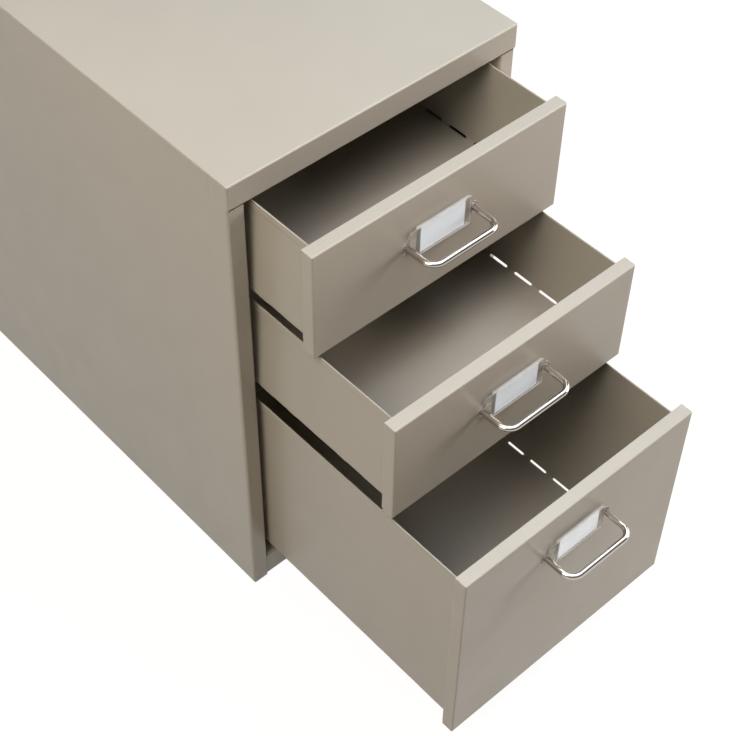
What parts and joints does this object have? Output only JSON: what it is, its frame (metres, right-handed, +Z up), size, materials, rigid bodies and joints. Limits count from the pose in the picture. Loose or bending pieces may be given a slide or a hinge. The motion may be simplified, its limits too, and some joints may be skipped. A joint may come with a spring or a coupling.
{
  "type": "small metal drawer cabinet",
  "caption": "Small folded-steel cabinet with shallow drawers over a deep one, each with a wire pull handle and a clear label holder.",
  "frame": {"origin": "on the floor, under the middle of the body's plan; the base panel's underside is z = 0", "axes": "+X to the right as the front is looked at from outside, +Y to the back, +Z up"},
  "size_m": [0.28, 0.6766, 0.4699],
  "materials": {
    "body_paint": "satin powder coat, warm light grey",
    "runner_steel": "zinc plated, dull",
    "screw_steel": "zinc plated, bright",
    "handle_nickel": "polished nickel plate",
    "holder_clear": "clear, moulded",
    "card_white": "plain white card",
    "bumper_rubber": "matt black"
  },
  "bodies": {
    "cabinet": {"side_panel_left": "body_paint", "side_panel_right": "body_paint", "top_panel": "body_paint", "back_panel": "body_paint", "base_panel": "body_paint", "bottom_rail": "body_paint", "runner_left_top": "runner_steel", "runner_left_middle": "runner_steel", "runner_left_bottom": "runner_steel", "runner_right_top": "runner_steel", "runner_right_middle": "runner_steel", "runner_right_bottom": "runner_steel", "guide_left": "runner_steel", "guide_right": "runner_steel", "back_screws": "screw_steel", "bumpers": "bumper_rubber"},
    "drawer_top": {"drawer_box_top": "body_paint", "drawer_back_top": "body_paint", "drawer_front_top": "body_paint", "handle_top": "handle_nickel", "handle_nuts_top": "screw_steel", "label_holder_top": "holder_clear", "label_card_top": "card_white", "front_screws_top": "screw_steel"},
    "drawer_middle": {"drawer_box_middle": "body_paint", "drawer_back_middle": "body_paint", "drawer_front_middle": "body_paint", "handle_middle": "handle_nickel", "handle_nuts_middle": "screw_steel", "label_holder_middle": "holder_clear", "label_card_middle": "card_white", "front_screws_middle": "screw_steel"},
    "drawer_bottom": {"drawer_box_bottom": "body_paint", "drawer_back_bottom": "body_paint", "drawer_front_bottom": "body_paint", "handle_bottom": "handle_nickel", "handle_nuts_bottom": "screw_steel", "label_holder_bottom": "holder_clear", "label_card_bottom": "card_white", "front_screws_bottom": "screw_steel"}
  },
  "joints": [
    {"name": "drawer_top_slide", "type": "slide", "parent": "cabinet", "child": "drawer_top", "axis": [0, -1, 0], "range_m": [-0.0702, 0.2173]},
    {"name": "drawer_middle_slide", "type": "slide", "parent": "cabinet", "child": "drawer_middle", "axis": [0, -1, 0], "range_m": [-0.156, 0.1315]},
    {"name": "drawer_bottom_slide", "type": "slide", "parent": "cabinet", "child": "drawer_bottom", "axis": [0, -1, 0], "range_m": [-0.2341, 0.0534]}
  ]
}
